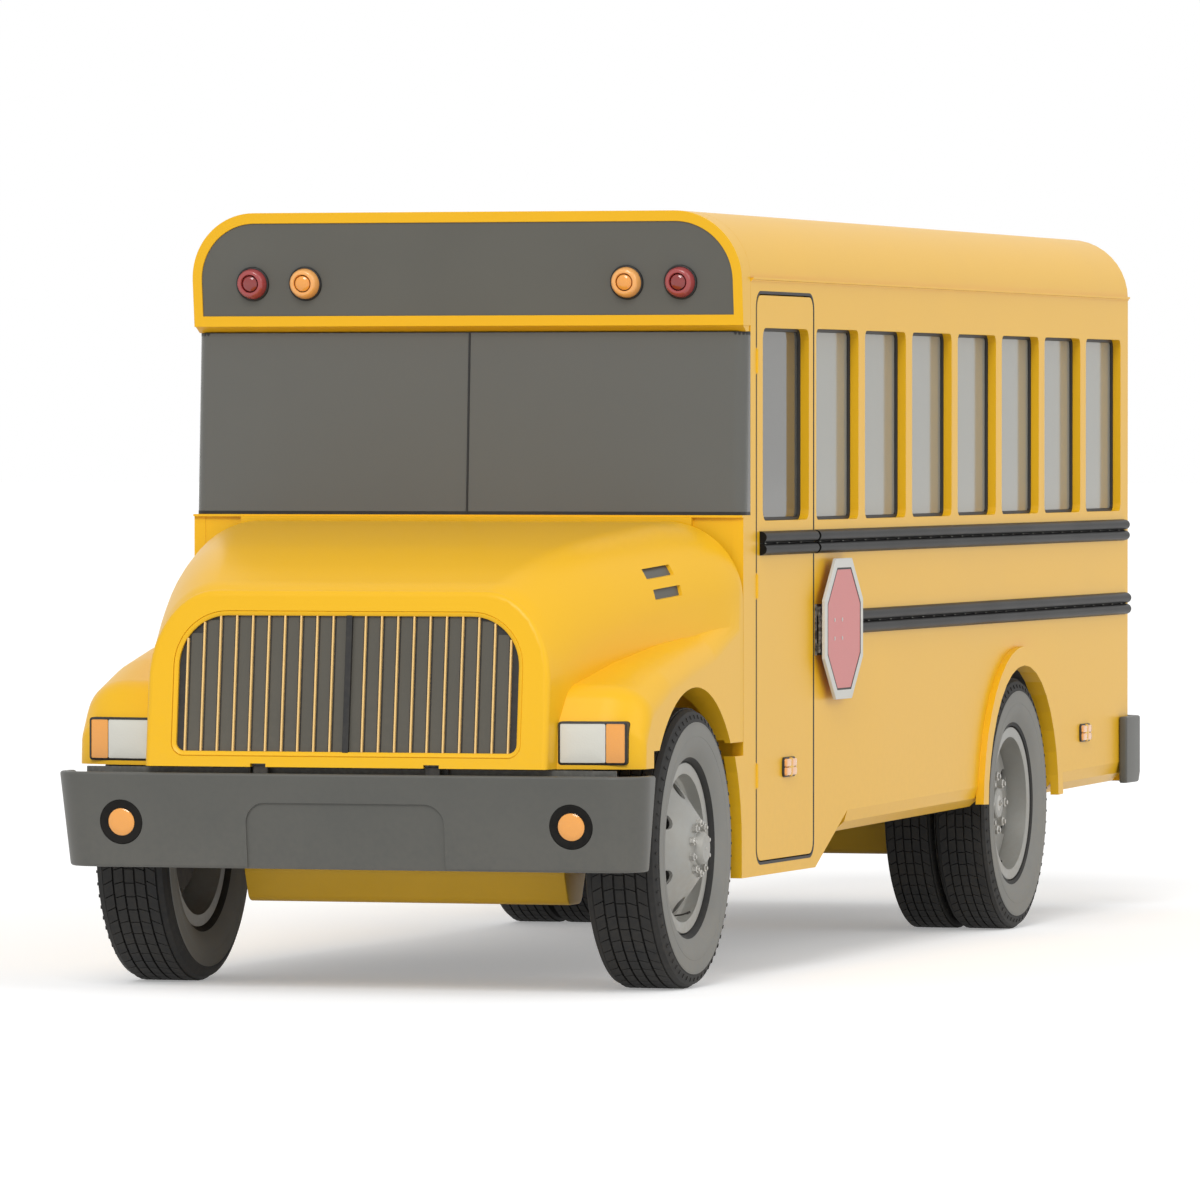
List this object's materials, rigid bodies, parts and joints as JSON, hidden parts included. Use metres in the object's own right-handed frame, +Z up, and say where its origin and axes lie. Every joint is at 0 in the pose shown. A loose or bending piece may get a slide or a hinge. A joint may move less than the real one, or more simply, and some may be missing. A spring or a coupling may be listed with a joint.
{
  "type": "school bus",
  "caption": "Conventional school bus with tilting hood, full-height side doors, rear door, stop arm, steered front wheels and twin rear wheels.",
  "frame": {"origin": "middle of the overall length and width, on the ground", "axes": "+Z up, front facing -Y, +X to the left side of the bus"},
  "size_m": [2.54, 8.489, 3.231],
  "materials": {
    "yellow_paint": "gloss",
    "white_roof": "satin",
    "black_paint": "satin",
    "dark_panel": "satin",
    "bumper_grey": "satin",
    "glass": "tinted",
    "pale_glass": "tinted",
    "tyre_rubber": "matte",
    "rim_steel": "satin",
    "chassis_steel": "matte",
    "yellow_axle": "satin",
    "cast_iron": "matte",
    "tank_steel": "satin",
    "sign_red": "satin",
    "lamp_lens": "gloss",
    "seat_vinyl": "satin",
    "floor_rubber": "matte",
    "dash_plastic": "matte"
  },
  "bodies": {
    "bus_body": {"chassis_frame": "chassis_steel", "engine_block": "cast_iron", "fuel_tank": "tank_steel", "exhaust": "tank_steel", "front_axle": "yellow_axle", "rear_axle": "yellow_axle", "floor": "floor_rubber", "cowl": "yellow_paint", "side_wall_left": "yellow_paint", "side_wall_right": "yellow_paint", "cant_rail_left": "yellow_paint", "cant_rail_right": "yellow_paint", "roof_skin": "white_roof", "header_cap": "yellow_paint", "header_panel": "dark_panel", "windshield": "glass", "rear_wall": "yellow_paint", "rear_glass_left": "pale_glass", "rear_glass_right": "pale_glass", "side_glass_left": "pale_glass", "side_glass_right": "pale_glass", "front_bumper": "bumper_grey", "rear_bumper": "bumper_grey", "dashboard": "dash_plastic", "driver_seat": "seat_vinyl", "benches_left": "seat_vinyl", "benches_right": "seat_vinyl", "stop_bracket": "black_paint"},
    "steering_wheel": {"steering_wheel": "dash_plastic"},
    "hood": {"hood": "yellow_paint", "grille": "dark_panel", "headlamp_left": "lamp_lens", "headlamp_right": "lamp_lens"},
    "driver_door": {"driver_door": "yellow_paint", "driver_door_glass": "glass"},
    "entry_leaf_front": {"entry_leaf_front": "yellow_paint", "entry_leaf_front_glass": "glass"},
    "entry_leaf_rear": {"entry_leaf_rear": "yellow_paint", "entry_leaf_rear_glass": "glass"},
    "rear_door": {"rear_door": "yellow_paint", "rear_door_glass": "pale_glass"},
    "stop_sign": {"stop_sign": "sign_red"},
    "knuckle_left": {"knuckle_left": "cast_iron"},
    "wheel_front_left": {"rim_front_left": "rim_steel", "tyre_front_left": "tyre_rubber"},
    "wheel_rear_left": {"rim_rear_left": "rim_steel", "tyre_rear_outer_left": "tyre_rubber", "tyre_rear_inner_left": "tyre_rubber"},
    "knuckle_right": {"knuckle_right": "cast_iron"},
    "wheel_front_right": {"rim_front_right": "rim_steel", "tyre_front_right": "tyre_rubber"},
    "wheel_rear_right": {"rim_rear_right": "rim_steel", "tyre_rear_outer_right": "tyre_rubber", "tyre_rear_inner_right": "tyre_rubber"}
  },
  "joints": [
    {"name": "steer_left", "type": "hinge", "parent": "bus_body", "child": "knuckle_left", "pos_m": [0.95, -3.2955, 0.581], "axis": [0, 0, 1], "range_deg": [-30, 30]},
    {"name": "spin_front_left", "type": "hinge", "parent": "knuckle_left", "child": "wheel_front_left", "pos_m": [0.95, -3.2955, 0.581], "axis": [1, 0, 0], "continuous": true},
    {"name": "spin_rear_left", "type": "hinge", "parent": "bus_body", "child": "wheel_rear_left", "pos_m": [0.95, 1.9635, 0.581], "axis": [1, 0, 0], "continuous": true},
    {"name": "steer_right", "type": "hinge", "parent": "bus_body", "child": "knuckle_right", "pos_m": [-0.95, -3.2955, 0.581], "axis": [0, 0, 1], "range_deg": [-30, 30]},
    {"name": "spin_front_right", "type": "hinge", "parent": "knuckle_right", "child": "wheel_front_right", "pos_m": [-0.95, -3.2955, 0.581], "axis": [1, 0, 0], "continuous": true},
    {"name": "spin_rear_right", "type": "hinge", "parent": "bus_body", "child": "wheel_rear_right", "pos_m": [-0.95, 1.9635, 0.581], "axis": [1, 0, 0], "continuous": true},
    {"name": "steering_wheel_turn", "type": "hinge", "parent": "bus_body", "child": "steering_wheel", "pos_m": [0.38, -1.9695, 1.7], "axis": [0, 0.8192, 0.5736], "range_deg": [-540, 540]},
    {"name": "hood_tilt", "type": "hinge", "parent": "bus_body", "child": "hood", "pos_m": [0, -4.1945, 0.945], "axis": [1, 0, 0], "range_deg": [0, 55]},
    {"name": "driver_door_swing", "type": "hinge", "parent": "bus_body", "child": "driver_door", "pos_m": [1.22, -2.3875, 0.49], "axis": [0, 0, -1], "range_deg": [0, 80]},
    {"name": "entry_front_swing", "type": "hinge", "parent": "bus_body", "child": "entry_leaf_front", "pos_m": [-1.22, -2.3875, 0.49], "axis": [0, 0, 1], "range_deg": [0, 85]},
    {"name": "entry_rear_swing", "type": "hinge", "parent": "bus_body", "child": "entry_leaf_rear", "pos_m": [-1.22, -1.5155, 0.49], "axis": [0, 0, -1], "range_deg": [0, 85]},
    {"name": "rear_door_swing", "type": "hinge", "parent": "bus_body", "child": "rear_door", "pos_m": [-0.364, 4.0505, 1], "axis": [0, 0, 1], "range_deg": [0, 95]},
    {"name": "stop_arm_swing", "type": "hinge", "parent": "bus_body", "child": "stop_sign", "pos_m": [1.24, -1.4825, 1.45], "axis": [0, 0, -1], "range_deg": [0, 90]}
  ],
  "couplings": [
    {"joint": "steer_right", "follows": "steer_left", "ratio": 1},
    {"joint": "steering_wheel_turn", "follows": "steer_left", "ratio": 18},
    {"joint": "entry_rear_swing", "follows": "entry_front_swing", "ratio": 1}
  ]
}
